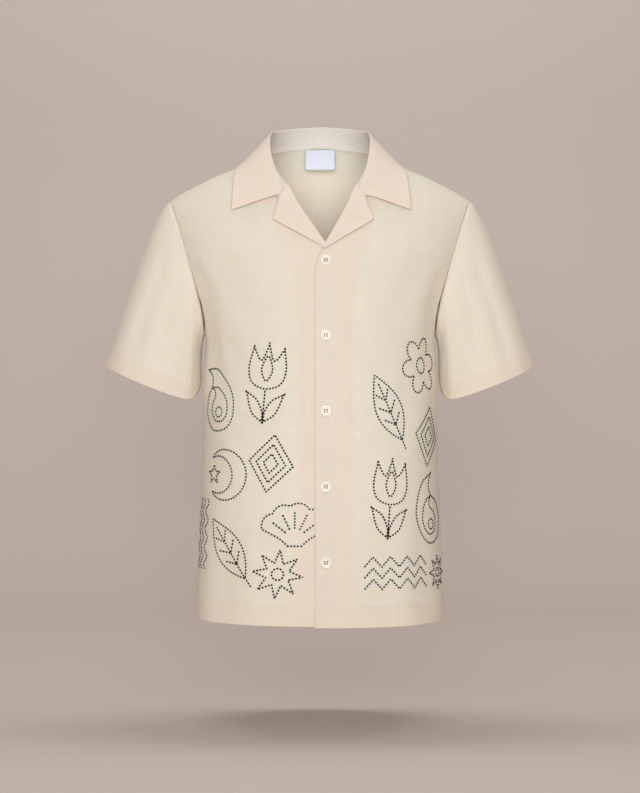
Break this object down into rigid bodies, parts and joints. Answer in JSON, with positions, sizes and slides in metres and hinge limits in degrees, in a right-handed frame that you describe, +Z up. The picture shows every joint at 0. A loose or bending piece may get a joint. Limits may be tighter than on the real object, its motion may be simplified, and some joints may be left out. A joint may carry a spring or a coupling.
{
  "type": "short-sleeved camp-collar shirt with running-stitch embroidery",
  "caption": "Child's short-sleeved camp-collar shirt in cream cloth, buttoned and filled out as if worn, for scattered running-stitch line motifs on both fronts.",
  "frame": {"origin": "middle of the neck hole, level with the collar seam at the back of the neck, where the wearer's neck holds the shirt up", "axes": "+Z up along the body, -Y is the front with the buttons, +X is the wearer's left"},
  "size_m": [0.4408, 0.1995, 0.5135],
  "materials": {
    "cream_cloth": "soft matt plain-weave cotton with a light slub",
    "white_tape": "smooth woven satin tape, bare",
    "button_resin": "semi-gloss cream resin, four holes"
  },
  "bodies": {
    "root": {"front_left": "cream_cloth", "front_right": "cream_cloth", "back": "cream_cloth", "sleeve_left": "cream_cloth", "sleeve_right": "cream_cloth", "collar": "cream_cloth", "lapel_left": "cream_cloth", "lapel_right": "cream_cloth", "neck_label": "white_tape", "button_1": "button_resin", "button_2": "button_resin", "button_3": "button_resin", "button_4": "button_resin", "button_5": "button_resin"}
  },
  "joints": []
}
